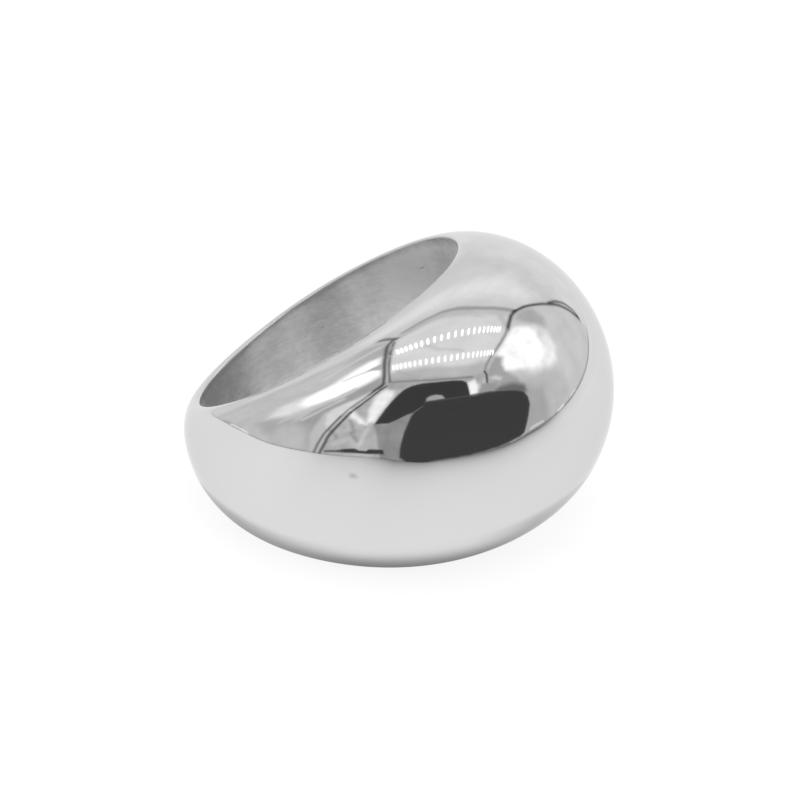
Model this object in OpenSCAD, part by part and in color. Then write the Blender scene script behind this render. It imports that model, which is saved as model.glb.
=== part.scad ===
// A plain domed finger ring in polished steel, lying on its side.
// One solid: a half-ellipse section is carried once around the finger hole,
// wide and thick at the dome, narrow and thin at the back of the band.
// Millimetres. The floor is z = 0 and the dome points along +X.

/* [Finger hole] */
// Diameter of the finger hole
bore_d = 17.5; // [14:0.25:22]
// Rounding where the outside meets the finger hole
edge_r = 0.2; // [0.1:0.05:0.4]

/* [Dome] */
// Width of the ring, along the finger, at the top of the dome
dome_width = 16.8; // [12:0.2:20]
// Thickness of the metal at the top of the dome
dome_thickness = 7.5; // [4:0.25:9]

/* [Back of the band] */
// Width of the ring, along the finger, at the back
back_width = 5.2; // [4:0.2:8]
// Thickness of the metal at the back
back_thickness = 1.6; // [1.2:0.1:2.5]

/* [Fineness] */
// Sections around the ring
turn_steps = 120; // [72:12:144]
// Steps across the outside of each section
arch_steps = 24; // [16:2:28]

/* [Hidden] */
bore_r = bore_d / 2;

// One row for each section, 30 degrees apart, from the top of the dome to the back.
// A share of 1 is the size at the dome, a share of 0 the size at the back.
// [angle from the dome, share of the width, share of the thickness]
SECTIONS = [
    [  0, 1.00, 1.00],
    [ 30, 0.94, 0.86],
    [ 60, 0.78, 0.46],
    [ 90, 0.54, 0.15],
    [120, 0.29, 0.05],
    [150, 0.08, 0.01],
    [180, 0.00, 0.00]
];
WIDTH_SHARE = 1;
THICKNESS_SHARE = 2;
last_row = len(SECTIONS) - 1;

// The rounded edge would meet the wall of the hole after 66 degrees of its arc.
// Its last point stands at 55, and a steep strip from there crosses the wall.
edge_turn = 66;
edge_steps = 4;
edge_last = 55;
strip_slope = 62;
// The swept body stands this far into the hole, and the bore takes it off.
inside_stock = 0.2;

function total(values) = len(values) == 0 ? 0 : values * [for (v = values) 1];

// The smooth wave through the rows of one column, even on both sides of the dome.
function end_half(j) = (j == 0 || j == last_row) ? 0.5 : 1;
function wave(column, k) = 2 * end_half(k) / last_row
    * total([for (j = [0 : last_row])
        end_half(j) * SECTIONS[j][column] * cos(180 * j * k / last_row)]);
width_waves = [for (k = [0 : last_row]) wave(WIDTH_SHARE, k)];
thickness_waves = [for (k = [0 : last_row]) wave(THICKNESS_SHARE, k)];
function share(waves, turn) = total([for (k = [0 : last_row]) waves[k] * cos(k * turn)]);

function half_width(turn) =
    (back_width + (dome_width - back_width) * share(width_waves, turn)) / 2;
function thickness(turn) =
    back_thickness + (dome_thickness - back_thickness) * share(thickness_waves, turn);

// Half of one section, from the crown out to the inside stock, as [radius, height].
edge_foot = bore_r + edge_r * sin(edge_turn);
function arch(turn) = [for (i = [1 : arch_steps / 2]) let (a = 180 * i / arch_steps)
    [edge_foot + (thickness(turn) - edge_foot + bore_r) * cos(a), half_width(turn) * sin(a)]];
function edge_at(turn, a) =
    [edge_foot - edge_r * sin(a), half_width(turn) - edge_r * (1 - cos(a))];
function edge(turn) = [for (i = [1 : edge_steps]) edge_at(turn, edge_last * i / edge_steps)];
function stock(turn) = let (p = edge_at(turn, edge_last), reach = p[0] - bore_r + inside_stock)
    [[p[0] - reach, p[1] - reach * tan(strip_slope)]];
function half_section(turn) = concat(arch(turn), edge(turn), stock(turn));

// The whole section: up from the crown to the upper edge, then the same mirrored below.
function section(turn) = let (up = half_section(turn), n = len(up)) concat(
    [[bore_r + thickness(turn), 0]],
    up,
    [for (i = [n - 1 : -1 : 0]) [up[i][0], -up[i][1]]]);

section_points = 1 + 2 * (arch_steps / 2 + edge_steps + 1);
ring_points = [for (i = [0 : turn_steps - 1])
    let (turn = 360 * i / turn_steps)
    for (p = section(turn)) [p[0] * cos(turn), p[0] * sin(turn), p[1]]];
ring_faces = [for (i = [0 : turn_steps - 1], j = [0 : section_points - 1])
    let (
        here = i * section_points,
        next = ((i + 1) % turn_steps) * section_points,
        k = (j + 1) % section_points
    )
    for (face = [
        [here + j, here + k, next + k],
        [here + j, next + k, next + j]
    ]) face];

// Where the ring balances, from the area and the reach of each half-ellipse section.
function area_moment(turn) = let (t = thickness(turn), a = t * half_width(turn))
    a * (bore_r + 4 * t / (3 * PI));
function reach_moment(turn) = let (t = thickness(turn), a = t * half_width(turn))
    a * (bore_r * bore_r + 8 * bore_r * t / (3 * PI) + t * t / 4);
weigh_turns = [for (i = [0 : 71]) 5 * i];
balance_x = total([for (u = weigh_turns) reach_moment(u) * cos(u)])
    / total([for (u = weigh_turns) area_moment(u)]);

// How the ring lies: the tilt at which its low points on the two sides of the
// balance point stand at the same height, found by halving the range.
function height(p, tilt) = p[0] * sin(tilt) + p[2] * cos(tilt);
function lead(tilt) =
    min([for (p = ring_points) if (p[0] > balance_x) height(p, tilt)])
    - min([for (p = ring_points) if (p[0] <= balance_x) height(p, tilt)]);
function settle(low, high, turns) = let (mid = (low + high) / 2)
    turns == 0 ? mid
    : lead(mid) < 0 ? settle(mid, high, turns - 1) : settle(low, mid, turns - 1);
rest_tilt = settle(0, 45, 18);

lying_points = [for (p = ring_points)
    [p[0] * cos(rest_tilt) - p[2] * sin(rest_tilt), height(p, rest_tilt)]];
centre_x = (min([for (p = lying_points) p[0]]) + max([for (p = lying_points) p[0]])) / 2;
floor_drop = -min([for (p = lying_points) p[1]]);

// The ring in its own frame: finger axis along Z, dome along +X.
module upright_ring() {
    difference() {
        polyhedron(points = ring_points, faces = ring_faces, convexity = 6);
        rotate([0, 0, 180 / turn_steps])
        cylinder(r = bore_r, h = 2 * dome_width, center = true, $fn = 96);
    }
}

module dome_ring() {
    color([0.80, 0.80, 0.81])
    translate([-centre_x, 0, floor_drop])
    rotate([0, -rest_tilt, 0])
    upright_ring();
}

dome_ring();
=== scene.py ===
# %% [markdown]
# # A domed finger ring in polished steel
#
# The object is one piece of metal, 26 mm long. Outside it is a mirror, inside it is
# brushed, and it has no ornament, so everything the eye reads is the outline and what
# the mirror shows. The lesson builds the ring's surface first, then its two finishes,
# and last a small light tent for the mirror to show.

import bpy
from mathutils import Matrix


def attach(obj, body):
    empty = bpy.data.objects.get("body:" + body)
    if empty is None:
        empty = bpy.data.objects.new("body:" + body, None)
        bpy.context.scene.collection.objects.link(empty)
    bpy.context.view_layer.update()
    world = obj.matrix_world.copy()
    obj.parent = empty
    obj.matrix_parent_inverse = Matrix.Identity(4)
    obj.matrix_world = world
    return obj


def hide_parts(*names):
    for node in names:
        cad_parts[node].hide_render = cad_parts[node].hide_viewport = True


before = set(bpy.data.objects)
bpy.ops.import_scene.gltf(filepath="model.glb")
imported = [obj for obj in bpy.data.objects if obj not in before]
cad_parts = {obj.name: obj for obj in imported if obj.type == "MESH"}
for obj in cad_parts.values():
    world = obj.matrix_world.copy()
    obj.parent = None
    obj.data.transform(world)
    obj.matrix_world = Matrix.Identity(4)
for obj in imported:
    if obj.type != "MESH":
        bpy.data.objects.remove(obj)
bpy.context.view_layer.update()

# %% [markdown]
# ## Three helpers
#
# Sizes are thought of in millimetres and Blender works in metres, so one factor turns
# them. A colour is written as the hex value that a screen shows, and the renderer needs
# the light behind it, so one function undoes the screen's curve. A second function adds a
# node with its settings and its inputs, and a third starts an empty material.

# %% Helpers
import math

import bpy
import numpy as np
from mathutils import Quaternion, Vector
from mathutils.bvhtree import BVHTree

MM = 0.001


def light_of(hex_colour):
    """sRGB hex to linear light: c / 12.92 when dark, else ((c + 0.055) / 1.055) ^ 2.4."""
    parts = [int(hex_colour[i:i + 2], 16) / 255 for i in (1, 3, 5)]
    linear = [c / 12.92 if c <= 0.04045 else ((c + 0.055) / 1.055) ** 2.4 for c in parts]
    return (*linear, 1.0)


def node(tree, kind, inputs=None, **settings):
    """Adds one node. A socket given as an input is linked, and anything else is its value."""
    made = tree.nodes.new(kind)
    for name, value in settings.items():
        setattr(made, name, value)
    for name, value in (inputs or {}).items():
        socket = made.inputs[name]
        if isinstance(value, bpy.types.NodeSocket):
            tree.links.new(value, socket)
        else:
            socket.default_value = value
    return made


def new_material(name):
    """An empty material with its output node, as (material, node tree, surface socket)."""
    made = bpy.data.materials.new(name)
    made.use_nodes = True
    made.node_tree.nodes.clear()
    out = made.node_tree.nodes.new("ShaderNodeOutputMaterial")
    return made, made.node_tree, out.inputs["Surface"]


print("middle grey #808080 is", round(light_of("#808080")[0], 3), "of the light of white")

# %% [markdown]
# ## The camera
#
# A long lens looks down on the ring from 29 degrees above the table, a little to the
# right of its front. Matching the outline and both edges of the finger hole through one
# camera gave the distance and the lens. The view is nearly flat, as in jewellery
# photographs, which keeps the dome from looking swollen.

# %% Camera
CAMERA_AT = Vector((87.004, -233.128, 144.216)) * MM
CAMERA_AIM = Vector((-0.265, 1.113, 5.840)) * MM
CAMERA_ROLL = -0.212  # degrees
SENSOR_WIDTH, FOCAL_LENGTH = 36.0, 212.46  # millimetres

looking = CAMERA_AIM - CAMERA_AT
lens = bpy.data.cameras.new("camera")
lens.sensor_width = SENSOR_WIDTH
lens.lens = FOCAL_LENGTH
camera = bpy.data.objects.new("camera", lens)
camera.location = CAMERA_AT
camera.rotation_mode = "QUATERNION"
level = looking.to_track_quat("-Z", "Y")
camera.rotation_quaternion = level @ Quaternion((0, 0, 1), math.radians(CAMERA_ROLL))
bpy.context.scene.collection.objects.link(camera)
bpy.context.scene.camera = camera
print("camera", round(looking.length / MM), "mm away")

# %% [markdown]
# ## The ring's sizes
#
# The ring is a section carried once round the finger hole. At the dome it is wide and
# thick, and at the back of the band narrow and thin. Seven rows say how the width and
# the thickness fall off, one row every 30 degrees. A ring like this is cast or pressed
# and then polished by hand, which leaves no corner between the rows, so a smooth wave
# goes through them instead of straight lines.

# %% Sizes, in millimetres
BORE_RADIUS = 8.75
EDGE_RADIUS = 0.2
DOME_WIDTH, BACK_WIDTH = 16.8, 5.2
DOME_THICKNESS, BACK_THICKNESS = 7.5, 1.6
# How the ring lies, as the solid model works it out: the tilt at which it balances, then
# how far the middle of its box and its lowest point are from the ring's own middle.
REST_TILT = math.radians(15.8985)
CENTRE_X, FLOOR_DROP = 2.92829, 5.63923

# Columns: degrees from the dome, share of the width, share of the thickness
SECTIONS = np.array([
    (0, 1.00, 1.00),
    (30, 0.94, 0.86),
    (60, 0.78, 0.46),
    (90, 0.54, 0.15),
    (120, 0.29, 0.05),
    (150, 0.08, 0.01),
    (180, 0.00, 0.00),
])


def wave_share(column, turn):
    """The wave through one column of the table: the sum of c_k cos(k turn), with the
    c_k that make it pass through every row."""
    rows = np.radians(SECTIONS[:, 0])
    orders = np.arange(len(rows))
    weights = np.linalg.solve(np.cos(np.outer(rows, orders)), SECTIONS[:, column])
    return np.cos(np.multiply.outer(turn, orders)) @ weights


def half_width(turn):
    """Half the ring's width along the finger, from back to dome, in millimetres."""
    return (BACK_WIDTH + (DOME_WIDTH - BACK_WIDTH) * wave_share(1, turn)) / 2


def thickness(turn):
    """The metal's thickness at the middle of the section, in millimetres."""
    return BACK_THICKNESS + (DOME_THICKNESS - BACK_THICKNESS) * wave_share(2, turn)


print("width at the side", round(float(2 * half_width(np.pi / 2)), 2),
      "thickness", round(float(thickness(np.pi / 2)), 2))

# %% [markdown]
# ## One surface for the whole ring
#
# A mirror shows every wrinkle of its mesh, so the ring isn't modelled by hand or
# smoothed from a cage: its surface is worked out as a function of two parameters. One
# goes round the ring. The other goes round the section: over the outside, which is half
# an ellipse, round the small edge, down the wall of the finger hole and round the other
# edge. The grid closes on itself both ways, so there is no seam and no pole.

# %% The section and the surface
TURN_STEPS = 540
ARCH_STEPS = 132
EDGE_STEPS = 10
WALL_STEPS = 24
SHARP_FROM = math.radians(15)  # the edge meets the wall at a corner of 24 degrees
EDGE_TURN = np.radians(66)
EDGE_FOOT = BORE_RADIUS + EDGE_RADIUS * math.sin(EDGE_TURN)


def section_steps():
    """Where each point of the section lies, as (kind, parameter) columns: kind 0 is the
    outside, 1 and 3 are the edges and 2 is the wall. Kinds share no point."""
    arch = np.radians(np.linspace(-90, 90, ARCH_STEPS + 1))
    edge = np.linspace(0, EDGE_TURN, EDGE_STEPS + 1)[1:]
    wall = np.linspace(1, -1, WALL_STEPS + 1)[1:-1]
    kinds = [np.full(len(arch), 0), np.full(len(edge), 1),
             np.full(len(wall), 2), np.full(len(edge), 3)]
    return np.concatenate(kinds), np.concatenate([arch, edge, wall, edge[::-1]])


def ring_surface(turn, kind, s):
    """The ring in millimetres, in its own frame with the finger along Z.
    Outside: radius = foot + (crown - foot) cos s, height = half width * sin s.
    Edge: radius = foot - e sin s, height = half width - e (1 - cos s), or its mirror.
    Wall: radius = bore, height = s times the height at which the edge ends."""
    h, crown = half_width(turn), BORE_RADIUS + thickness(turn)
    wall_top = h - EDGE_RADIUS * (1 - math.cos(EDGE_TURN))
    edge_height = h - EDGE_RADIUS * (1 - np.cos(s))
    radius = np.select(
        [kind == 0, kind == 2],
        [EDGE_FOOT + (crown - EDGE_FOOT) * np.cos(s), BORE_RADIUS + 0 * s * h],
        EDGE_FOOT - EDGE_RADIUS * np.sin(s) + 0 * h)
    height = np.select(
        [kind == 0, kind == 1, kind == 2],
        [h * np.sin(s), edge_height, s * wall_top],
        -edge_height)
    return np.stack([radius * np.cos(turn), radius * np.sin(turn), height], axis=-1)


def lay_down(points):
    """Turns the ring on its side about Y, and sets it on the floor, in metres."""
    x, y, z = points[..., 0], points[..., 1], points[..., 2]
    c, s = math.cos(REST_TILT), math.sin(REST_TILT)
    laid = np.stack([x * c - z * s - CENTRE_X, y, x * s + z * c + FLOOR_DROP], axis=-1)
    return laid * MM


kinds, steps = section_steps()
turns = np.linspace(0, 2 * np.pi, TURN_STEPS, endpoint=False)
ring_grid = lay_down(ring_surface(turns[:, None], kinds[None, :], steps[None, :]))
print("surface grid", ring_grid.shape[:2], "lowest point", round(ring_grid[..., 2].min() / MM, 4))

# %% [markdown]
# ## From grid to mesh
#
# Each cell of the grid becomes one face. The mesh also gets a UV map, once round the
# ring and once round the section, because the brushing of the wall follows it. Later
# cells store numbers with the points of a mesh, which a material can read.

# %% Mesh of a grid that closes both ways
def closed_grid_mesh(name, grid):
    """Faces join point (i, j) to (i+1, j), (i+1, j+1) and (i, j+1), counted round."""
    n, m = grid.shape[:2]
    i, j = np.meshgrid(np.arange(n), np.arange(m), indexing="ij")
    i_next, j_next = (i + 1) % n, (j + 1) % m
    corners = np.stack([i * m + j, i_next * m + j, i_next * m + j_next, i * m + j_next], -1)
    mesh = bpy.data.meshes.new(name)
    mesh.from_pydata(grid.reshape(-1, 3), [], corners.reshape(-1, 4))
    across = np.stack([i, i + 1, i + 1, i], -1) / n
    along = np.stack([j, j, j + 1, j + 1], -1) / m
    uv = mesh.uv_layers.new(name="around_and_across")
    uv.data.foreach_set("uv", np.stack([across, along], -1).astype(np.float32).ravel())
    mesh.shade_smooth()
    return mesh


def store(mesh, name, values):
    """Stores one number with each point of a mesh."""
    stored = mesh.attributes.new(name, "FLOAT", "POINT")
    stored.data.foreach_set("value", values.astype(np.float32).ravel())


def piece(name, mesh):
    """Puts a mesh in the scene as an object at the origin."""
    made = bpy.data.objects.new(name, mesh)
    bpy.context.scene.collection.objects.link(made)
    return made


ring_mesh = closed_grid_mesh("ring", ring_grid)
ring_mesh.set_sharp_from_angle(angle=SHARP_FROM)
ring = piece("ring", ring_mesh)
print("ring:", len(ring_mesh.vertices), "points,", len(ring_mesh.polygons), "faces")

# %% [markdown]
# ## Where the brushing ends
#
# The wall of the finger hole is brushed, and the brushing runs a little way round the
# small edges. On one side of the ring it is also carried over the upper edge, by up to
# 0.35 mm. That strip is a guess. Without it the bright line along this edge is wider
# than in the photograph, which doesn't show why. It is modelled as if the brushing
# wheel had slipped there. A face is brushed if both points of its first side are.

# %% Faces that the wheel brushed
POLISHED_EDGE = np.radians(40)  # how far round the small edges the polish stays
# Columns: degrees round from the dome, millimetres of the outside that the wheel touched
# On the slipped strip the brushed finish adds painted edge shade, darker than the polish.
SLIP = np.array([(0, 0.10), (8, 0), (240, 0), (252, 0.16), (266, 0.34), (280, 0.40), (302, 0.40),
                 (318, 0.20), (330, 0), (345, 0.03), (360, 0.10)])
OVER_EDGE = 0.12  # a slip of this many millimetres brushes the whole upper edge
LIFT_OFF = 0.05  # the last of its touch, in millimetres, leaves no mark


def read_off(table, where, column=1):
    """A column of a table at places along its first column, by straight lines between
    the rows."""
    return np.interp(where, table[:, 0], table[:, column])


kind, step = kinds[None, :], steps[None, :]
half = half_width(turns)[:, None]
out_of_hole = (BORE_RADIUS + thickness(turns) - EDGE_FOOT)[:, None] * np.cos(step)
slipped = read_off(SLIP, np.degrees(turns))[:, None]
polished_part = POLISHED_EDGE * np.clip(1 - slipped / OVER_EDGE, 0, 1)
on_wall = (kind == 2) | ((kind == 3) & (step > POLISHED_EDGE))
on_upper_edge = (kind == 1) & (step > polished_part)
on_outside = (kind == 0) & (step > 0) & (out_of_hole < slipped - LIFT_OFF)
brushed = on_wall | on_upper_edge | on_outside
brushed_face = brushed & np.roll(brushed, -1, axis=1)
ring_mesh.polygons.foreach_set("material_index", brushed_face.astype(np.int32).ravel())
print(int(brushed_face.sum()), "faces are brushed")

# %% [markdown]
# ## Wear and painted shade along the edges
#
# Fingers and polishing wheels rub most along the two edges of the finger hole. A value
# called edge wear and shade is stored with the points, and both finishes read it: 1 on the
# small edges, falling off over the first millimetre of the outside and faster down the
# wall. The polished finish turns it into wear, a duller surface. The brushed finish turns
# it into painted shade, a darker colour.

# %% Edge wear and painted edge shade, as e^(-(distance from the edge / width)^2)
WORN_OUTSIDE, EDGE_SHADE_DOWN_WALL = 0.5, 0.2  # millimetres

to_rim = half * (1 - np.abs(np.sin(step)))
down_wall = half * (1 - np.abs(step))
edge_wear_and_shade = np.select([kind == 0, kind == 2], [np.exp(-((to_rim / WORN_OUTSIDE) ** 2)),
                                               np.exp(-((down_wall / EDGE_SHADE_DOWN_WALL) ** 2))], 1.0)
store(ring_mesh, "edge_wear_and_shade", edge_wear_and_shade)
print("worn more than half:", int((edge_wear_and_shade > 0.5).sum()), "of", edge_wear_and_shade.size, "points")

# %% [markdown]
# ## Polished stainless steel
#
# The outside is stainless steel, ground and then buffed on a cloth wheel. To the eye
# that is a mirror of light grey, a little soft: the wheel leaves a faint ripple a few
# millimetres long, very fine hairlines, and thin smears where it has been handled. All
# of it is far too fine to change the outline, so it goes into the roughness and the
# bump. The pattern is laid out in millimetres in the ring's own frame.

# %% Coordinates in millimetres
def ring_millimetres(tree):
    """Object coordinates in millimetres, turned back upright into the ring's own frame."""
    place = node(tree, "ShaderNodeTexCoord")
    back_x = CENTRE_X * math.cos(REST_TILT) - FLOOR_DROP * math.sin(REST_TILT)
    back_z = -CENTRE_X * math.sin(REST_TILT) - FLOOR_DROP * math.cos(REST_TILT)
    return node(tree, "ShaderNodeMapping", {
        "Vector": place.outputs["Object"],
        "Location": (back_x, 0, back_z),
        "Rotation": (0, REST_TILT, 0),
        "Scale": (1 / MM, 1 / MM, 1 / MM),
    }).outputs["Vector"]


def stretched(tree, vector, sizes):
    """Divides the coordinates by a pattern's sizes along X, Y and Z, in millimetres."""
    return node(tree, "ShaderNodeVectorMath", {0: vector, 1: sizes},
                operation="DIVIDE").outputs["Vector"]


def noise(tree, vector, detail=2.0, roughness=0.5):
    """Noise with one lump to each unit of its coordinates, as a number from 0 to 1."""
    return node(tree, "ShaderNodeTexNoise", {
        "Vector": vector, "Scale": 1.0, "Detail": detail, "Roughness": roughness,
    }).outputs["Fac"]


def span(tree, value, low, high, to_low, to_high):
    """Maps low..high to to_low..to_high in a smooth step, and holds the ends."""
    return node(tree, "ShaderNodeMapRange", {
        "Value": value, "From Min": low, "From Max": high,
        "To Min": to_low, "To Max": to_high,
    }, interpolation_type="SMOOTHSTEP").outputs["Result"]


def maths(tree, operation, a, b):
    """One sum on two numbers."""
    return node(tree, "ShaderNodeMath", {0: a, 1: b}, operation=operation).outputs["Value"]


# %% [markdown]
# ## The few marks of use
#
# The ring is clean, but not perfect: there are a faint dull spot on the front, a short
# scratch and a nick by the back of the band, and a fleck low on the left. Each is a
# small ellipsoid in space, and the surface inside it is duller and a little darker. A
# noise eats into its border, so that no mark looks stamped.

# %% Marks, in millimetres on the lying ring
# Columns: x, y, z, reach along x, reach along y, reach along z
MARKS = [
    (1.51, -11.49, 7.70, 0.44, 0.38, 0.28),
    (-10.70, -6.90, 5.64, 0.10, 0.10, 0.30),
    (-5.47, -9.82, 1.92, 0.16, 0.14, 0.10),
    (-11.32, -5.36, 6.29, 0.18, 0.18, 0.07),
]


def marks_mask(tree):
    """The strongest of all marks at a point. A mark falls from 1 to 0 while
    length((p - place) / reach), with a noise added, grows from 0.6 to 1.5."""
    place = node(tree, "ShaderNodeTexCoord").outputs["Object"]
    here = node(tree, "ShaderNodeVectorMath", {0: place, "Scale": 1 / MM},
                operation="SCALE").outputs["Vector"]
    ragged = noise(tree, stretched(tree, here, (0.07, 0.07, 0.07)))
    mask = 0.0
    for mark in MARKS:
        off = node(tree, "ShaderNodeVectorMath", {0: here, 1: mark[:3]},
                   operation="SUBTRACT").outputs["Vector"]
        part = node(tree, "ShaderNodeVectorMath",
                    {0: stretched(tree, off, mark[3:])}, operation="LENGTH").outputs["Value"]
        part = maths(tree, "ADD", part, ragged)
        mask = maths(tree, "MAXIMUM", mask, span(tree, part, 0.6, 1.5, 1.0, 0.0))
    return mask


print(len(MARKS), "marks, the largest", 2 * max(max(mark[3:]) for mark in MARKS), "mm long")

# %% The polished finish
STEEL = light_of("#D2D2D2")
STEEL_DULL = light_of("#B4B4B4")
STEEL_EDGE_ON = light_of("#EEEEEE")  # real steel stays a little short of white edge-on


def polished_steel():
    """Buffed stainless steel: metallic 1, roughness near 0.05, ripple and hairlines."""
    made, tree, surface = new_material("polished_stainless_steel")
    mm = ring_millimetres(tree)
    wear_and_edge_shade = node(tree, "ShaderNodeAttribute", attribute_name="edge_wear_and_shade").outputs["Fac"]
    marks = marks_mask(tree)

    smears = span(tree, noise(tree, stretched(tree, mm, (5, 5, 3)), 3.0), 0.4, 0.75, 0.0, 1.0)
    grain = noise(tree, stretched(tree, mm, (0.9, 0.9, 0.12)), 2.0)
    dullness = 0.035
    for cause, amount in ((smears, 0.02), (grain, 0.01), (wear_and_edge_shade, 0.05), (marks, 0.25)):
        dullness = maths(tree, "ADD", dullness, maths(tree, "MULTIPLY", cause, amount))

    ripple = noise(tree, stretched(tree, mm, (4, 4, 4)), 0.0)
    hairlines = noise(tree, stretched(tree, mm, (1.2, 1.2, 0.09)), 2.0)
    relief = node(tree, "ShaderNodeBump", {
        "Height": ripple, "Strength": 1.0, "Distance": 0.002 * MM})
    relief = node(tree, "ShaderNodeBump", {
        "Height": hairlines, "Strength": 1.0, "Distance": 0.00012 * MM,
        "Normal": relief.outputs["Normal"]})

    tint = node(tree, "ShaderNodeMix", {
        "Factor": maths(tree, "MULTIPLY", marks, 0.8), "A": STEEL, "B": STEEL_DULL,
    }, data_type="RGBA")
    shader = node(tree, "ShaderNodeBsdfPrincipled", {
        "Base Color": tint.outputs["Result"], "Metallic": 1.0,
        "Specular Tint": STEEL_EDGE_ON,
        "Roughness": dullness, "Normal": relief.outputs["Normal"]})
    tree.links.new(shader.outputs["BSDF"], surface)
    return made


polished = polished_steel()
print("finish:", polished.name, "with", len(polished.node_tree.nodes), "nodes")

# %% [markdown]
# ## Brushed steel in the finger hole
#
# The wall of the hole is the same steel, left as an abrasive flap wheel made it. The
# wheel turns round the finger's axis, so its fine lines run round the hole, and light
# spreads across them. The shader is anisotropic along the UV map's first direction, and
# a noise that is long round the hole and a tenth of a millimetre across draws the lines.
# Real lines are often finer, but then they would be lost between pixels. Clouds of noise
# blot them, as wear does. The steel gets darker towards the dome and the back of the band
# and close to both edges, because it is so in the photograph. That darkening is painted
# shade in the steel's colour, and partway round the wall is painted a little lighter.

# %% The brushed finish
BRUSHED = light_of("#E3E3E3")
# The darker end of the brushed colour, for blots, pits and painted shade.
BRUSHED_BLOTS_AND_SHADE = light_of("#A6A6A6")
# Painted shade and light round the wall, by the cosine of the turn from the dome: the tone
# changes by the third number between the first and the second, and stays changed. A
# positive change is painted shade, a negative one painted light.
WALL_PAINTED_LIGHT_AND_SHADE = [(-0.86, -1.0, 0.7), (0.93, 1.0, 0.4), (-0.22, -0.42, 0.42),
               (-0.5, -0.72, -0.42), (-0.15, 0.1, -0.25), (0.4, 0.55, 0.25)]


def brushed_steel():
    """Brushed stainless steel: metallic 1, roughness near 0.45, lines round the hole."""
    made, tree, surface = new_material("brushed_stainless_steel")
    mm = ring_millimetres(tree)
    lines = noise(tree, stretched(tree, mm, (1.6, 1.6, 0.09)), 3.0, 0.6)
    clouds = noise(tree, stretched(tree, mm, (1.5, 1.5, 1.0)), 2.0, 0.6)
    blots = noise(tree, stretched(tree, mm, (0.5, 0.5, 0.35)), 3.0, 0.7)
    pits = noise(tree, stretched(tree, mm, (0.35, 0.35, 0.25)), 1.0)
    pits = span(tree, pits, 0.74, 0.84, 0.0, 1.0)

    brush_marks_and_painted_shade = pits
    for pattern, amount in ((lines, 0.16), (clouds, 0.14), (blots, 0.18)):
        brush_marks_and_painted_shade = maths(tree, "ADD", brush_marks_and_painted_shade, span(tree, pattern, 0.3, 0.7, 0.0, amount))
    turn = node(tree, "ShaderNodeUVMap", uv_map="around_and_across").outputs["UV"]
    turn = node(tree, "ShaderNodeSeparateXYZ", {"Vector": turn}).outputs["X"]
    towards_dome = maths(tree, "COSINE", maths(tree, "MULTIPLY", turn, 2 * math.pi), 0.0)
    # Painted shade and light round the wall.
    for start, end, change in WALL_PAINTED_LIGHT_AND_SHADE:
        brush_marks_and_painted_shade = maths(tree, "ADD", brush_marks_and_painted_shade, span(tree, towards_dome, start, end, 0.0, change))
    wear_and_edge_shade = node(tree, "ShaderNodeAttribute", attribute_name="edge_wear_and_shade").outputs["Fac"]
    # Painted shade: the brushed steel darkens along both edges of the hole.
    brush_marks_and_painted_shade = maths(tree, "ADD", brush_marks_and_painted_shade, maths(tree, "MULTIPLY", wear_and_edge_shade, 0.7))
    tint = node(tree, "ShaderNodeMix", {"Factor": brush_marks_and_painted_shade, "A": BRUSHED, "B": BRUSHED_BLOTS_AND_SHADE},
                data_type="RGBA", clamp_factor=True)
    dullness = maths(tree, "ADD", maths(tree, "MULTIPLY", clouds, 0.15), 0.38)
    height = maths(tree, "SUBTRACT", lines, pits)
    relief = node(tree, "ShaderNodeBump", {
        "Height": height, "Strength": 1.0, "Distance": 0.004 * MM})
    around = node(tree, "ShaderNodeTangent", direction_type="UV_MAP",
                  uv_map="around_and_across")
    shader = node(tree, "ShaderNodeBsdfPrincipled", {
        "Base Color": tint.outputs["Result"], "Metallic": 1.0, "Roughness": dullness,
        "Anisotropic": 0.6, "Tangent": around.outputs["Tangent"],
        "Normal": relief.outputs["Normal"]})
    tree.links.new(shader.outputs["BSDF"], surface)
    return made


ring_mesh.materials.append(polished)
ring_mesh.materials.append(brushed_steel())
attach(ring, "root")
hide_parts("dome_ring")
print("ring finished with", [m.name for m in ring_mesh.materials])

# %% [markdown]
# ## The table
#
# A plain frosted white panel carries the ring, and is lit from below as the floor of a
# small light tent often is, which leaves only a faint shadow. It is a flat disc of faces
# far wider than the view, so its rim never shows. The steel doesn't mirror this panel,
# but a sheet of paper that comes after the tent.

# %% Table
def disc_grid(reach, rings=24, spokes=96):
    """Points at radius reach * (i / rings) ^ 2 and angle a, flat at z = 0, in metres."""
    r = reach * (np.arange(1, rings + 1) / rings) ** 2
    a = np.linspace(0, 2 * np.pi, spokes, endpoint=False)
    r, a = np.meshgrid(r, a, indexing="ij")
    return np.stack([r * np.cos(a), r * np.sin(a), 0 * r], axis=-1)


def capped_mesh(name, grid, tip, inward=False):
    """A grid that closes round its second parameter, with a fan from its first row to a tip.
    Inward turns every face over."""
    n, m = grid.shape[:2]
    i, j = np.meshgrid(np.arange(n - 1), np.arange(m), indexing="ij")
    j_next = (j + 1) % m
    quads = np.stack([i * m + j, (i + 1) * m + j, (i + 1) * m + j_next, i * m + j_next], -1)
    spoke = np.arange(m)
    fan = np.stack([np.full(m, n * m), spoke, (spoke + 1) % m], -1)
    quads, fan = (quads[..., ::-1], fan[..., ::-1]) if inward else (quads, fan)
    mesh = bpy.data.meshes.new(name)
    points = np.concatenate([grid.reshape(-1, 3), [tip]])
    mesh.from_pydata(points, [], quads.reshape(-1, 4).tolist() + fan.tolist())
    mesh.shade_smooth()
    return mesh


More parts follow.
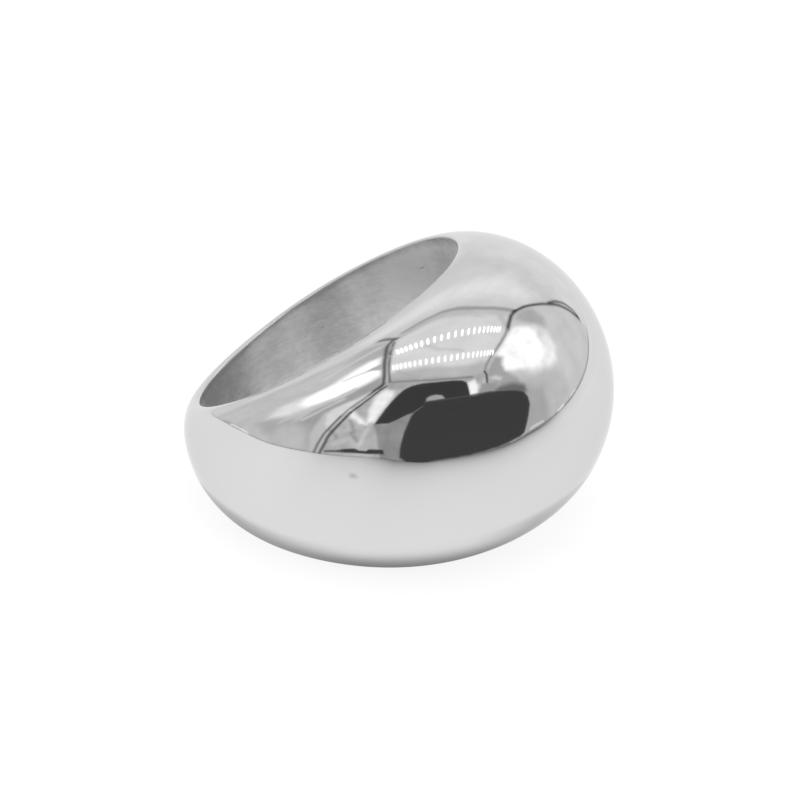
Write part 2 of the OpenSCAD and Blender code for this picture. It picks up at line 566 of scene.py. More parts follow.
def frosted_acrylic():
    """Frosted white acrylic, cast and sandblasted: no gloss, lit through from below."""
    made, tree, surface = new_material("frosted_acrylic")
    place = node(tree, "ShaderNodeTexCoord").outputs["Object"]
    frost = noise(tree, stretched(tree, place, (0.3 * MM, 0.3 * MM, 0.3 * MM)), 2.0)
    relief = node(tree, "ShaderNodeBump", {
        "Height": frost, "Strength": 0.3, "Distance": 0.003 * MM})
    shader = node(tree, "ShaderNodeBsdfPrincipled", {
        "Base Color": light_of("#6C6C6C"), "Roughness": 0.9, "Specular IOR Level": 0.0,
        "Emission Color": (1, 1, 1, 1), "Emission Strength": 0.87,
        "Normal": relief.outputs["Normal"]})
    tree.links.new(shader.outputs["BSDF"], surface)
    return made


table = piece("table", capped_mesh("table", disc_grid(3.0), (0, 0, 0)))
table.data.materials.append(frosted_acrylic())
table.visible_glossy = False
print("table:", len(table.data.polygons), "faces")

# %% [markdown]
# ## The light tent
#
# A mirror has no colour of its own, so it needs a room. Small jewellery is photographed
# in a tent of white cloth on a frame, with lamps in its ceiling and an open front. Here
# the tent is one shell about the middle of the ring: in each direction the cloth hangs
# so far away. It stands near at the front left and far at the back, and that sets where
# the line between table and cloth crosses the steel. The camera looks through it, and
# it casts no shadow: only reflections see it.

# %% Shell of the tent
TENT_MIDDLE = 10.0
TENT_REACH = 280.0

# One value every 20 degrees of azimuth from -180 (0 is -Y, 90 is +X): how many degrees
# below the middle the cloth meets the table.
FOOT_DROPS = np.array([2.2, 2.2, 2.2, 2.5, 3.4, 5.6, 8.9, 12.0, 11.9,
                       9.7, 9.8, 7.8, 6.5, 4.6, 4.1, 3.5, 3.0, 2.3])


def smooth_step(x):
    """3x^2 - 2x^3 between 0 and 1, and flat outside."""
    x = np.clip(x, 0, 1)
    return x * x * (3 - 2 * x)


def foot_drop(azimuth):
    """A closed cubic through the drops, with each one's slope taken from its neighbours:
    b + t/2 ((c - a) + t ((2a - 5b + 4c - d) + t (3b - 3c + d - a)))."""
    at = (azimuth + 180) / 20
    k = np.floor(at).astype(int)
    t = at - k
    a, b, c, d = (FOOT_DROPS[(k + step) % len(FOOT_DROPS)] for step in (-1, 0, 1, 2))
    return b + t / 2 * ((c - a) + t * ((2 * a - 5 * b + 4 * c - d) + t * (3 * b - 3 * c + d - a)))


def cloth_distance(azimuth, elevation):
    """The foot's distance low down, and the tent's full reach from 40 degrees up."""
    foot = TENT_MIDDLE / np.sin(np.radians(foot_drop(azimuth)))
    return foot + (TENT_REACH - foot) * smooth_step((elevation + 5) / 45)


def tent_surface(azimuth, elevation):
    """Point = middle + distance * direction, in metres; the foot stands on the table."""
    far = cloth_distance(azimuth, elevation)
    a, e = np.radians(azimuth), np.radians(elevation)
    return np.stack([far * np.sin(a) * np.cos(e), -far * np.cos(a) * np.cos(e),
                     TENT_MIDDLE + far * np.sin(e)], axis=-1) * MM


# Columns of the grid stand closer at the front, and rows closer below the ceiling, which
# is where the steel shows the finest detail.
azimuth = np.concatenate([np.linspace(-180, -50, 100, endpoint=False),
                          np.linspace(-50, 110, 380, endpoint=False),
                          np.linspace(110, 180, 78, endpoint=False)])[None, :]
rise = np.interp(np.arange(175) / 175, [0, 0.72, 0.90, 1], [0, 0.60, 0.78, 1])[::-1, None]
foot_angle = -foot_drop(azimuth)
elevation = foot_angle + (90 - foot_angle) * rise
azimuth = azimuth + 0 * elevation
print("tent grid", elevation.shape, "foot from", round(float(foot_angle.min()), 1),
      "to", round(float(foot_angle.max()), 1), "degrees")

# %% [markdown]
# ## A flat map of the tent
#
# The cloth isn't even: the walls beside the lamps glow, the corners are seams, the front
# stands open and gives no light, and a dark card stands before it. Such shapes need a
# flat map of the shell to be drawn on. A mirror ball gives one. The top of the tent is
# the middle of the map, and a point that lies so many degrees off the top is drawn that
# far from the middle, on its own side. Each part of the tent is then a plain outline
# with a brightness, where 1 is a sheet of white paper in that light.

# %% Map and brushes
off_top = 90 - elevation
map_x = off_top * np.sin(np.radians(azimuth))
map_y = off_top * np.cos(np.radians(azimuth))


def distance_to_line(path):
    """Degrees on the map from each point of the tent to a broken line: the least of
    |p - t s| over its segments s, with t = p.s / s.s held between 0 and 1."""
    least = np.full(map_x.shape, 999.0)
    for (x0, y0), (x1, y1) in zip(path[:-1], path[1:]):
        px, py, sx, sy = map_x - x0, map_y - y0, x1 - x0, y1 - y0
        t = np.clip((px * sx + py * sy) / (sx * sx + sy * sy), 0, 1)
        least = np.minimum(least, np.hypot(px - t * sx, py - t * sy))
    return least


def inside(outline):
    """Even-odd rule: a point is inside if a line to the side crosses the outline an odd
    number of times."""
    odd = np.zeros(map_x.shape, bool)
    for (x0, y0), (x1, y1) in zip(outline, outline[1:] + outline[:1]):
        crosses = (y0 > map_y) != (y1 > map_y)
        odd ^= crosses & (map_x < x0 + (map_y - y0) / ((y1 - y0) or 1e-9) * (x1 - x0))
    return odd


def lay_tone(glow, outline, tone, soft):
    """Mixes a tone in over an outline, across a border that is soft degrees wide."""
    away = distance_to_line(outline + outline[:1])
    depth = np.where(inside(outline), away, -away)
    share = smooth_step(depth / soft + 0.5)
    return glow * (1 - share) + tone * share


def lay_seam(glow, path, tone, width):
    """Mixes a tone in along a line, fully on the line and not at all one width away."""
    share = smooth_step(1 - distance_to_line(path) / width)
    return glow * (1 - share) + tone * share


def crumple(size, seed):
    """Noise from -1 to 1: random heights on a square lattice, blended by smooth_step.
    Its size is the lattice's step in degrees."""
    lattice = np.random.default_rng(seed).random((64, 64)) * 2 - 1
    x, y = map_x / size + 200, map_y / size + 200
    i, j = np.floor(x).astype(int), np.floor(y).astype(int)
    fx, fy = smooth_step(x - i), smooth_step(y - j)
    near = lattice[i % 64, j % 64] * (1 - fx) + lattice[(i + 1) % 64, j % 64] * fx
    far = lattice[i % 64, (j + 1) % 64] * (1 - fx) + lattice[(i + 1) % 64, (j + 1) % 64] * fx
    return near * (1 - fy) + far * fy


print("map reaches", round(float(off_top.max()), 1), "degrees off the top")

# %% [markdown]
# ## The parts of the tent
#
# Points are (x, y) on the map, in degrees. The front of the tent is towards +y, because
# the camera stands there, and the dome points to +x. Left and right are as the camera
# sees them.
#
# This tent was worked out backwards from one photograph. The points were picked along the
# edges of its reflections. A helper program followed the camera's ray to each point, off
# the steel and on to the tent, and printed most of the degrees below. Some were then moved
# one by one. The foot of the tent and the lamps were placed the same way.
# The brightness was adjusted to the photograph's greys. So the tent gives reflections
# like those in the photograph, but the real surroundings may have been different.

# %% Outlines of the parts
CEILING = [
    (-30, -12), (-25, -9.5), (-23, -4), (-20, 5), (-17, 14), (-14, 23), (-11.4, 31), (-9, 38),
    (-7.5, 46), (2, 51), (8, 47), (14, 43), (40, 31), (43, 16), (41, 11), (39.5, 5), (38.6, -3),
    (36.6, -11), (34, -17), (31.4, -22), (28, -28), (25, -34), (17, -30.6), (9, -27.4), (1, -26),
    (-7, -26), (-14, -25), (-20, -21), (-24, -15)]
BACK_LIGHT = [
    (-32, -26), (-20, -32), (0, -36), (18, -40), (24, -44), (22, -54), (0, -54), (-24, -46),
    (-40, -38), (-48, -30), (-38, -22)]
LEFT_WALL = [
    (-120, -18), (-78, -11), (-52, -7), (-38, -14), (-30, -14), (-25, -9), (-20, 5), (-14, 23),
    (-8, 42), (-8, 48), (-18, 64), (-27, 76), (-36, 92), (-50, 120), (-140, 120)]
LEFT_WALL_TOP = [
    (-37, -10), (-27, -8), (-20, 6), (-17, 15), (-21, 22), (-30, 16), (-36, 8), (-38, -2)]
LEFT_GLOW = [
    (-21, 13.5), (-18, 20), (-14, 29), (-12.5, 35), (-16.2, 40.5), (-20.2, 45.6), (-25, 50.5),
    (-31, 54.5), (-38, 56.5), (-46, 57), (-50, 52), (-47, 46), (-42.5, 42), (-36, 36.5),
    (-31.8, 29), (-28, 21.5), (-24.5, 15.5)]
LEFT_WEDGE = [(-16.5, 21.5), (-13, 29.5), (-16.5, 29.5), (-19.5, 29.2), (-24, 31), (-20.5, 25.5)]
LEFT_DIP = [(-74, 54), (-66, 57), (-58, 62), (-50, 70), (-46, 84), (-58, 80), (-70, 68)]
LEFT_GLOW_LOW = [(-40, 43), (-52, 44), (-60, 45.7), (-68, 57), (-58, 63), (-50, 60.5), (-40, 58)]
LEFT_CORNER = [
    (-9, 38), (-8, 46), (-13.2, 52), (-19, 57.6), (-26, 62), (-31.7, 65), (-36, 68.5), (-39, 77),
    (-43, 92), (-58, 88), (-55, 76), (-47, 68), (-41, 63.5), (-36.6, 61), (-32.5, 58.4),
    (-27.2, 55.6), (-21.1, 49.6), (-15.8, 43.6), (-11, 38)]
LEFT_LOW = [(-43, 92), (-42, 80), (-50, 72), (-60, 70), (-66, 74), (-64, 90)]
CORNER_LIGHT = [
    (-9, 47), (-13, 53.4), (-19.3, 59), (-26.3, 63.4), (-31.7, 66.6), (-34.4, 71), (-34, 78),
    (-32, 82), (-28, 77), (-24, 70), (-18, 62), (-12, 54)]
FRONT_PANEL = [
    (-8.2, 42), (-13, 54), (-22, 66.5), (-29, 78), (-33, 89), (-38, 110), (30, 110), (20, 60),
    (12, 46), (2, 45)]
FRONT_GLOW = [
    (-4.4, 50.3), (0.4, 50), (1, 57), (-1.9, 65.9), (-6, 78), (-10.4, 78.8), (-11.2, 69),
    (-9.6, 59.1), (-7, 53)]
FRONT_SPOT = [(-22.5, 67.9), (-20, 69.8), (-14.2, 76.7), (-10.5, 80.1), (-14.8, 80), (-22.4, 73.3)]
FRONT_SHADE = [
    (-6, 80), (3.4, 77.9), (11.3, 71.5), (17, 64), (18, 78), (20, 110), (4.4, 110), (-0.8, 91),
    (-3, 85.9)]
CEILING_FRONT = [
    (-8, 42), (-9, 36), (-4, 33), (4, 30), (14, 26), (24, 23), (32, 17), (37, 10), (41, 9), (44, 16),
    (46, 24), (42, 30), (30, 38), (14, 46), (6, 50), (-2, 51)]
FRONT_EDGE = [
    (-7, 44), (-3, 40), (6, 38.5), (14, 37), (28, 31), (38, 25), (44, 15), (46, 24), (40, 32),
    (30, 38), (14, 46), (6, 50), (-4, 50)]
OPEN_FRONT = [
    (-6, 80), (-2.7, 71), (0.6, 62), (3.3, 54.7), (5.6, 49.5), (8.5, 46), (13.8, 42.4),
    (22.1, 38.3), (30, 33.3), (35, 30.4), (38.4, 30.1), (41.9, 33.3), (46.5, 38.3), (30.5, 52.8),
    (22.5, 57.8), (19.9, 61.6), (16.8, 66.3), (13.1, 69.5), (8.4, 74), (3.4, 77.9), (-2.1, 79.1)]
FRONT_GAP = [
    (21.6, 55.5), (21.2, 53.1), (22.4, 50.9), (25.3, 48.4), (29.4, 47), (31.9, 48.4),
    (27.2, 52.1)]
CARD_EDGE = [(21.2, 56.6), (31.3, 50), (37.5, 44.7), (45, 37.8), (51.7, 29.9), (55.4, 24.6)]
FRONT_STRIP = [
    (-34.1, 93.9), (-26.2, 95), (-21.9, 94.8), (-14.7, 95), (-12.4, 96), (-7.9, 96.2),
    (-6.4, 95.2), (3.6, 94.6), (4.6, 97), (-7.7, 97.8), (-20.7, 97), (-34.2, 94.7)]
RIGHT_WALL = [
    (25, -34), (28, -28), (34, -17), (38.6, -3), (41, 11), (46, 18), (60, 60), (140, 60),
    (140, -140), (60, -140), (36, -79), (32.2, -65.5), (28.7, -50.6), (26, -42)]
RIGHT_TOP_SHADE = [
    (26, -33), (29, -29), (33, -31), (38, -35), (43, -42), (38, -46), (30, -44), (27, -40)]
RIGHT_UPPER = [
    (40, 2), (44.6, -0.8), (48.6, 2), (53, 5), (58, 4), (62, 2), (66, 6), (62, 14), (54, 18),
    (47, 20), (43, 14)]
RIGHT_PATCH = [(38.9, 29.8), (41.5, 25.1), (45.2, 27.7), (48.9, 33), (46.2, 37)]
PATCH_SHADE = [(46.5, 25), (54, 16), (57.2, 19.5), (52, 30), (49, 33), (47.5, 28)]
RIGHT_SPOT = [(47.5, 18), (50, 13.5), (54, 11), (54.5, 13.5), (51, 17)]
RIGHT_MIDDLE = [(66, -2), (66, -22), (69, -38), (80, -38), (94, -26), (96, 0)]
RIGHT_SHADE = [(60, 6), (67, -3), (75, -12), (84, -14), (96, -10), (96, 20), (70, 20)]
CARD_SHADE = [(55, 20), (59, 13), (61.5, 7.5), (67, 0.6), (71, 1.5), (72, 6), (62, 18), (56, 26)]
RIGHT_GLOW_WIDE = [
    (34, -24), (36.5, -31), (40, -37), (46, -41), (56, -40), (63, -36), (68, -25), (68, -14),
    (62, -6), (50, -2), (40, -6)]
BACK_LOW = [
    (-62, -60), (-30, -71), (0, -70), (30, -74), (34, -82), (30, -110), (-90, -110), (-80, -70)]
RIGHT_GLOW = [
    (33.8, -22), (36, -27), (39, -31), (44, -33), (50, -31), (54, -28), (58.5, -25), (62, -19.5),
    (62, -13), (58, -6), (55, 1), (52, 5), (48, 3.5), (44.6, -1.5), (40.2, 0.5), (38, -5),
    (36.4, -12)]
DARK_CARD = [
    (19.9, 61.6), (22.3, 57.2), (31.9, 50.1), (41.1, 42), (48.1, 35), (55.5, 24.7), (60.9, 17.5),
    (66.5, 9.6), (70.4, 4.7), (74.3, 3.4), (79, 4.8), (83.8, 9.8), (88.2, 15.4), (91, 19.4),
    (91, 25), (88.3, 35), (82.8, 48.2), (75.6, 59.8), (67.2, 70), (57.8, 78.7), (48, 85.8),
    (38, 92), (27.6, 96.6), (21.9, 97.8), (15.8, 96.6), (15.2, 91), (14.8, 81.7), (16, 69.8),
    (17, 66.3)]
CARD_FOOT = [
    (14, 93), (12, 104), (46, 98), (76, 78), (100, 48), (98, 36), (88, 36), (75, 58), (57, 77),
    (38, 90), (22, 95)]

print("an open front of", len(OPEN_FRONT), "points and a card of", len(DARK_CARD))

# %% [markdown]
# ## Brightness of the parts
#
# The parts are laid on one after the other, so a later one lies on top. Lamps light the
# ceiling from within, and the side walls from close by, so those glow the most. What
# stands near the open front is darker.

# %% Tones, in the order in which they are laid on
# Columns: outline, brightness, width of the border in degrees
TONES = [
    (BACK_LIGHT, 1.13, 12),
    (BACK_LOW, 1.08, 16),
    (LEFT_WALL, 0.80, 8),
    (LEFT_WALL_TOP, 0.66, 8),
    (LEFT_GLOW_LOW, 1.10, 9),
    (LEFT_GLOW, 1.75, 8),
    (LEFT_WEDGE, 0.64, 3),
    (LEFT_DIP, 0.62, 8),
    (LEFT_CORNER, 0.53, 3.5),
    (LEFT_LOW, 0.74, 8),
    (CORNER_LIGHT, 1.06, 2.5),
    (RIGHT_WALL, 0.88, 1),
    (RIGHT_TOP_SHADE, 0.62, 6),
    (RIGHT_GLOW_WIDE, 1.20, 6),
    (RIGHT_UPPER, 0.56, 5),
    (RIGHT_MIDDLE, 0.76, 8),
    (RIGHT_SHADE, 0.58, 14),
    (CARD_SHADE, 0.22, 5),
    (RIGHT_GLOW, 1.62, 5),
    (RIGHT_SPOT, 0.90, 3),
    (FRONT_PANEL, 0.70, 1),
    (FRONT_SHADE, 0.42, 2.5),
    (FRONT_GLOW, 1.40, 4),
    (FRONT_SPOT, 1.40, 4),
    (CEILING, 1.02, 7),
    (CEILING_FRONT, 0.72, 6),
    (FRONT_EDGE, 0.60, 5),
    (RIGHT_PATCH, 1.40, 3),
    (PATCH_SHADE, 0.50, 3),
    (OPEN_FRONT, 0.062, 1.0),
    (CARD_FOOT, 0.40, 1.2),
    (DARK_CARD, 0.068, 1.0),
    (FRONT_GAP, 0.55, 1.2),
    (FRONT_STRIP, 0.06, 0.6),
]

print("brightness of the parts from", min(t[1] for t in TONES), "to", max(t[1] for t in TONES))

# %% [markdown]
# ## Seams and creases
#
# The cloth is sewn along the edges of its frame. A seam shows as a thin dark line, and
# where two layers are sewn together as two lines side by side. They are what makes a
# mirror look like a mirror: the eye reads the dome's shape from how they bend. The cloth
# was also folded to be stored, and its creases show as soft streaks, most of all in the
# narrow front panel. Where the cloth meets the table its hem lies in shade.

# %% Seams and creases
# Columns: path, brightness, width in degrees
SEAMS = [
    ([(-24, -15), (-20, -21), (-14, -25), (-7, -26), (1, -26), (9, -27.4), (17, -30.6),
      (25, -34)], 0.50, 3.0),
    ([(-34, -17), (-28.1, -12.2), (-23.4, -8.4)], 0.12, 2.0),
    ([(-24.8, -8), (-24.3, -3), (-22.6, 2), (-18.4, 12.9), (-16.2, 19.5), (-14, 25.4),
      (-11.6, 32), (-9.9, 37.5), (-8.6, 42.5), (-8, 46), (-9.4, 49.5), (-11.4, 53)],
     0.07, 1.7),
    ([(-17, 9.5), (-14.4, 18), (-12.4, 24), (-10.2, 30), (-8.5, 35.5), (-6.6, 40)],
     0.95, 0.9),
    ([(-22.6, -5), (-19.2, 4.5), (-15.8, 13.7), (-13.4, 20.5), (-11.3, 26.3), (-9.4, 31.5),
      (-7.7, 36.2), (-4.8, 43.6)], 0.14, 1.2),
    ([(-11.6, 52), (-9.6, 48.8), (-7.8, 45.7)], 0.12, 2.0),
    ([(-9.6, 51.5), (-14.2, 60), (-18.6, 65.4), (-23.4, 71.6), (-27.4, 78)], 0.86, 1.3),
    ([(-8.4, 47), (-12, 53.1), (-14, 56.3)], 0.12, 1.4),
    ([(-14, 56.3), (-16.6, 60), (-19.8, 63.8), (-23.3, 68.3), (-26.8, 73.4)], 0.34, 1.1),
    ([(-26.8, 73.4), (-30, 78.9), (-32.4, 83.6), (-34.5, 87.5), (-40.3, 93.7)], 0.12, 1.3),
    ([(-5.6, 47.6), (-8.8, 52.4), (-12.6, 59), (-16.8, 65), (-21.4, 70.7)], 0.08, 1.4),
    ([(-21.4, 70.7), (-25.2, 76.9), (-29, 84.2), (-31.9, 89.5), (-37.1, 95)], 0.06, 1.7),
    ([(24.8, -34), (26.2, -29.5), (29.2, -24.5), (32.2, -19.8)], 0.10, 2.2),
    ([(32.2, -19.8), (34.4, -14.5), (36.2, -9), (37.6, -3), (38.8, 4), (40.6, 11), (43, 16)],
     0.46, 1.7),
    ([(43, 16), (45, 16.9), (49.1, 21.5)], 0.08, 1.4),
    ([(25, -34), (25.9, -41), (28.2, -48.3), (30.6, -57.5), (31.8, -65.3), (33.5, -72),
      (35.6, -79)], 0.06, 1.8),
    ([(29.9, -58.3), (29.2, -64.8), (29.8, -71.3), (31.8, -76.3), (34, -79.1)], 0.08, 1.5),
    (CARD_EDGE, 0.11, 1.0),
    ([(-93.6, 7), (-91.5, 26.4), (-86.8, 44.2)], 0.62, 1.2),
    ([(-91.9, 27), (-86.8, 44.2), (-81.3, 56.9)], 1.40, 0.7),
    ([(90.6, -21.8), (87.9, -30.3)], 1.50, 1.0),
    ([(83.2, -40.6), (79, -47.5)], 1.20, 0.9),
    ([(91.7, 12.9), (92.5, -3.2)], 1.00, 1.0),
]

# Columns: path, brightness, width in degrees
CREASE_LINES = [
    ([(-0.5, 7), (7.9, 10.5), (21.4, 8.2)], 0.86, 2.6),
    ([(-2.9, 43.8), (6.4, 41.7), (18, 38.2), (29.7, 31.7), (38.9, 24.5)], 0.36, 1.6),
    ([(18.4, -29), (23.4, -24.7), (29.2, -21.8)], 0.80, 3.2),
    ([(-3.8, 33.1), (3.2, 35.9), (11.8, 38.4)], 0.68, 1.8),
    ([(0, -23.4), (7.3, -20.7), (14.3, -21.1)], 0.89, 2.4),
    ([(-23, 30), (-26.7, 32), (-31, 35.2)], 1.10, 2.4),
    ([(-22.7, 48.6), (-31.3, 55.6), (-40.4, 60), (-49.6, 63), (-58.6, 66)], 0.84, 2.6),
    ([(-27.1, 57.5), (-34.4, 62.6), (-41.4, 67.3), (-46.7, 70.3)], 0.84, 2.2),
    ([(-20.8, 6), (-18.2, 14), (-15.3, 22.6), (-12.4, 31.5), (-10, 39)], 0.70, 2.2),
    ([(-23, -10), (-18, -17), (-13, -21.5), (-6, -22.5)], 0.74, 5.5),
    ([(-6, -22.5), (1, -22.5), (9, -23.8), (17, -27), (24, -30)], 0.80, 5.5),
    ([(-28.1, -3.5), (-32.3, 3.1), (-37.1, 12.4), (-42.6, 22.8)], 0.92, 3.0),
    ([(-31, -7.4), (-37.3, -2.9), (-43, 1.5)], 0.70, 2.4),
    ([(-20.4, 82.3), (-13.2, 81.9)], 0.80, 2.5),
    ([(-8.6, 81.6), (-11.8, 92.2)], 0.84, 2.5),
    ([(-28.1, 91.8), (-17.3, 89.2)], 0.80, 2.2),
    ([(-18.3, 86.1), (-13.6, 91.0)], 0.48, 2.0),
    ([(-20.7, 77.3), (-16.6, 85.4)], 0.52, 1.8),
    ([(-30, 83), (-26, 88)], 0.50, 2.0),
]

# Columns: outline, share of the light that the folds move, width of the border
CREASES = [
    (FRONT_PANEL, 0.19, 2),
    (FRONT_GLOW, 0.15, 4),
    (RIGHT_GLOW_WIDE, 0.18, 6),
]

# Columns: azimuth, share of the light that the hem takes away, height of the hem in degrees
HEM_SHADE = np.array([(-180, 0.0, 0.9), (-125, 0.1, 0.9), (-100, 0.65, 0.9), (-60, 0.5, 0.9),
                      (-30, 0.55, 0.9), (10, 0.4, 0.9), (60, 0.4, 1.2), (95, 0.55, 1.5),
                      (108, 0.8, 1.3), (150, 0.8, 1.0), (160, 0.0, 0.9), (180, 0.0, 0.9)])

glow = np.full(elevation.shape, 0.94)
for outline, tone, soft in TONES:
    glow = lay_tone(glow, outline, tone, soft)
creased = np.full(elevation.shape, 0.06)
for outline, amount, soft in CREASES:
    creased = lay_tone(creased, outline, amount, soft)
creased = creased * smooth_step(glow / 0.3 - 0.3)
for path, tone, width in CREASE_LINES + SEAMS:
    glow = lay_seam(glow, path, tone, width)

# Folds are sharp lines between soft fields, which the absolute value of a noise gives.
folds = sum(weight * np.abs(crumple(size, seed))
            for size, seed, weight in ((14, 1, 1.0), (7, 2, 0.7), (3.5, 3, 0.4)))
glow = glow * (1 + creased * (folds / folds.mean() - 1))
hem = smooth_step(1 - (elevation - foot_angle) / read_off(HEM_SHADE, azimuth, 2))
glow = glow * (1 - read_off(HEM_SHADE, azimuth) * hem)
print("cloth brightness from", round(float(glow.min()), 3), "to", round(float(glow.max()), 2))

# %% [markdown]
# ## The cloth glows by itself
#
# Real cloth is lit from behind and from the lamps, which takes a long render to work
# out. Here each point of the shell simply gives off the brightness that was laid on it.
# The value is stored with the points, and the material reads it.

# %% Tent as one glowing mesh
def reflections_only(thing):
    """Hides a stage piece from everything but reflections."""
    thing.visible_camera = False
    thing.visible_diffuse = False
    thing.visible_shadow = False
    thing.visible_transmission = False
    thing.visible_volume_scatter = False


def glowing(name):
    """A white surface that gives off the brightness stored with its points. No cloth or
    paper is quite even, so it varies by 2% in patches a few centimetres wide."""
    made, tree, surface = new_material(name)
    stored = node(tree, "ShaderNodeAttribute", attribute_name="glow").outputs["Fac"]
    place = node(tree, "ShaderNodeTexCoord").outputs["Object"]
    patches = noise(tree, stretched(tree, place, (50 * MM, 50 * MM, 30 * MM)), 2.0)
    strength = maths(tree, "MULTIPLY", stored, span(tree, patches, 0.3, 0.7, 0.98, 1.02))
    shader = node(tree, "ShaderNodeEmission", {
        "Color": (1, 1, 1, 1), "Strength": strength})
    tree.links.new(shader.outputs["Emission"], surface)
    return made


tent_mesh = capped_mesh("tent", tent_surface(azimuth, elevation),
                        (0, 0, (TENT_MIDDLE + TENT_REACH) * MM), inward=True)
store(tent_mesh, "glow", np.append(glow.ravel(), glow[0].mean()))
tent = piece("tent", tent_mesh)
tent.data.materials.append(glowing("polyester_tent_cloth"))
reflections_only(tent)
print("tent:", len(tent_mesh.polygons), "faces")

# %% [markdown]
# ## The sheet that the steel mirrors
#
# Over its whole lower half the steel shows what it lies on, and the dark line under it
# there is what sets it down. So reflections see a sheet of white paper in the panel's
# place, that glows like the cloth. How bright it is at a point follows from two things.
# Light gets under the ring only from the open side, so the paper darkens as the gap
# between ring and paper closes: a ray straight up from the paper measures the gap. And
# the open front with its card sends little light, so the paper darkens towards them.
# How much it darkens was adjusted to the photograph's greys.

# %% Sheet for reflections
SHEET_BRIGHTNESS = 1.09
SHEET_LIFT = 0.02  # millimetres above the panel, so that the two never fight
NO_GAP = 99.0  # stands for open air above a point
TIGHT_GAP, WIDE_GAP = 1.7, 6.0  # millimetres
SOFTENINGS = 8  # how many times the shade is spread over its neighbours
FRONT_FALL, DARKEST = 2.5, 0.15

sheet_radii = np.concatenate([np.linspace(0.5, 6, 12), np.linspace(6.15, 15, 72),
                              np.geomspace(15.5, 400, 40)])
sheet_turn = np.linspace(-180, 180, 360, endpoint=False)
radius, turned = np.meshgrid(sheet_radii, sheet_turn, indexing="ij")
sheet_grid = np.stack([radius * np.sin(np.radians(turned)),
                       -radius * np.cos(np.radians(turned)),
                       0 * radius + SHEET_LIFT], axis=-1) * MM


def gap_above(points):
    """Millimetres from each point straight up to the ring, or NO_GAP where it is open."""
    corners = [v.co for v in ring_mesh.vertices]
    tree = BVHTree.FromPolygons(corners, [tuple(p.vertices) for p in ring_mesh.polygons])
    up = Vector((0, 0, 1))
    hits = [tree.ray_cast(Vector(p), up)[3] for p in points.reshape(-1, 3)]
    gaps = [NO_GAP if hit is None else hit / MM for hit in hits]
    return np.array(gaps).reshape(points.shape[:-1])


def spread(values, times):
    """Softens a grid that closes round: each value becomes the mean of itself and its
    four neighbours, so many times over."""
    for _ in range(times):
        padded = np.pad(values, ((1, 1), (0, 0)), mode="edge")
        values = (values + padded[:-2] + padded[2:] + np.roll(values, 1, axis=1)
                  + np.roll(values, -1, axis=1)) / 5
    return values


# Light = 1 - tight e^(-(gap / tight gap)^2) - wide e^(-(gap / wide gap)^2). Towards the
# bright front only the tightest gap is dark, and elsewhere the shade is wide and weak.
# Columns: azimuth, tight, wide
GAP_SHADE = np.array([(-180, 0.00, 0.25), (-80, 0.00, 0.25), (-45, 0.10, 0.40), (-15, 0.42, 0.20),
                      (5, 0.70, 0.02), (45, 0.70, 0.02), (60, 0.45, 0.20), (75, 0.05, 0.40),
                      (100, 0.00, 0.25), (180, 0.00, 0.25)])
gap = gap_above(sheet_grid)
tight, wide = (read_off(GAP_SHADE, turned, column) for column in (1, 2))
under_ring = spread(1 - tight * np.exp(-((gap / TIGHT_GAP) ** 2))
                    - wide * np.exp(-((gap / WIDE_GAP) ** 2)), SOFTENINGS)

# Towards the open front and its card: light = 1 - depth * (share of the way to the tent's
# foot) ^ front fall, never below the darkest.
# Columns: azimuth, depth
FOOT_SHADE = np.array([(-180, 0), (-35, 0), (-27, 0.07), (-19, 0.23), (-6, 0.34), (7, 0.78),
                       (15, 0.70), (28, 0.58), (43, 0.72), (61, 0.85), (73, 1.00), (87, 0.95),
                       (93, 0.78), (105, 0.30), (125, 0.12), (145, 0), (180, 0)])
to_foot = np.minimum(radius * np.tan(np.radians(foot_drop(turned))) / TENT_MIDDLE, 1)
depth = read_off(FOOT_SHADE, turned)
before_front = np.maximum(1 - depth * to_foot ** FRONT_FALL, DARKEST)
sheet_glow = SHEET_BRIGHTNESS * under_ring * before_front

sheet_mesh = capped_mesh("sheet", sheet_grid, (0, 0, SHEET_LIFT * MM))
store(sheet_mesh, "glow", np.append(sheet_glow.ravel(), sheet_glow[0].mean()))
sheet = piece("sheet", sheet_mesh)
sheet.data.materials.append(glowing("white_paper"))
reflections_only(sheet)
print("sheet brightness from", round(float(sheet_glow.min()), 2), "to",
      round(float(sheet_glow.max()), 2), "smallest gap", round(float(gap.min()), 2), "mm")

# %% [markdown]
# ## Two rows of lamps
#
# Under the tent's ceiling hang two strips of small lamps. Every lamp is a slim six-sided
# plate across its strip. The strips bow a little, so a curve through three points carries
# each. The lamps are set farther apart at the middle, as sagging strips would show them to
# the ring, and the plates look shorter towards the right.

# %% Lamps
LAMP_WIDTH = 4.3
LAMP_LENGTHS = (30.0, 22.0)
LAMP_HEIGHT = 200.0
LAMP_SWING = 0.27
# How many lamps, then x and y of the first lamp, the middle and the last, in millimetres
LAMP_ROWS = [
    (21, np.array([(-46.3, -36.4), (31.1, 11.6), (108.5, 62.1)])),
    (22, np.array([(-29.6, -104.8), (64.0, -61.8), (147.2, -2.5)])),
]


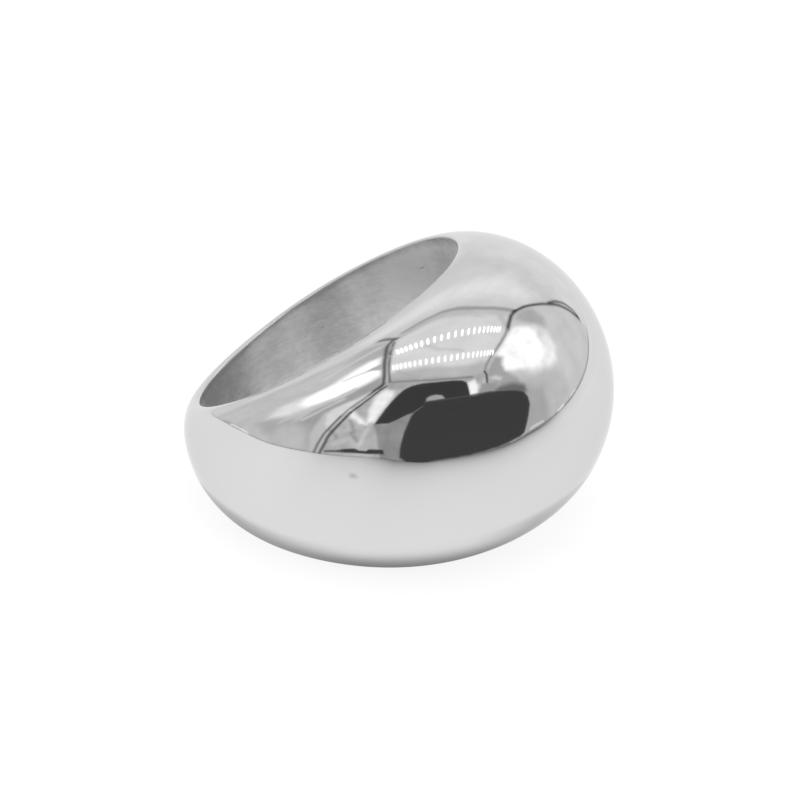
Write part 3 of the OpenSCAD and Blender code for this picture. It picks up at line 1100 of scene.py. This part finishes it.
def lamp_plates(count, row):
    """Plate k stands at the parabola through the row's three points, at
    t = u - swing sin(2 pi u) / (2 pi) with u = k / (count - 1). Its corners are
    the centre + w cos(a) along the row + l sin(a) across it."""
    u = np.linspace(0, 1, count)[:, None]
    t = u - LAMP_SWING * np.sin(2 * np.pi * u) / (2 * np.pi)
    start, middle, end = row
    bend = 2 * (start + end - 2 * middle)
    centre = start + (end - start - bend) * t + bend * t * t
    along = end - start - bend + 2 * bend * t
    along = along / np.linalg.norm(along, axis=1, keepdims=True)
    across = np.stack([-along[:, 1], along[:, 0]], axis=1)
    length = (LAMP_LENGTHS[0] + (LAMP_LENGTHS[1] - LAMP_LENGTHS[0]) * t)[:, None]
    a = np.radians(np.arange(0, 360, 60) + 30)[None, :, None]
    flat = (centre[:, None] + along[:, None] * np.cos(a) * LAMP_WIDTH / 2
            + across[:, None] * np.sin(a) * length / 2)
    return np.concatenate([flat, np.full(flat.shape[:2] + (1,), LAMP_HEIGHT)], axis=-1) * MM


plates = np.concatenate([lamp_plates(*row) for row in LAMP_ROWS])
lamp_mesh = bpy.data.meshes.new("lamps")
lamp_mesh.from_pydata(plates.reshape(-1, 3), [], np.arange(len(plates) * 6).reshape(-1, 6))
lamps = piece("lamps", lamp_mesh)
lamp_glow, lamp_tree, lamp_surface = new_material("lamp_plate")
lamp_shader = node(lamp_tree, "ShaderNodeEmission", {"Strength": 2.6})
lamp_tree.links.new(lamp_shader.outputs["Emission"], lamp_surface)
lamp_mesh.materials.append(lamp_glow)
reflections_only(lamps)
print(len(plates), "lamps")

# %% [markdown]
# ## Soft light on the table
#
# The even light of the tent comes from the world, and one wide lamp overhead adds a
# soft direction. The steel doesn't see the lamp, because the tent is what it mirrors.
# The screen's plain curve is used, so white paper stays white.

# %% World and overhead light
world = bpy.data.worlds.new("even_light")
world.use_nodes = True
world.node_tree.nodes["Background"].inputs["Color"].default_value = (1, 1, 1, 1)
world.node_tree.nodes["Background"].inputs["Strength"].default_value = 1.0
bpy.context.scene.world = world

overhead = bpy.data.lights.new("overhead", "AREA")
overhead.shape = "DISK"
overhead.size = 0.5
overhead.energy = 1.2
overhead_light = bpy.data.objects.new("overhead", overhead)
overhead_light.location = (0.05, 0.05, 0.6)
overhead_light.visible_glossy = False
overhead_light.visible_camera = False
bpy.context.scene.collection.objects.link(overhead_light)
bpy.context.scene.view_settings.view_transform = "Standard"
print("overhead lamp:", overhead.energy, "W,", overhead.size, "m across")
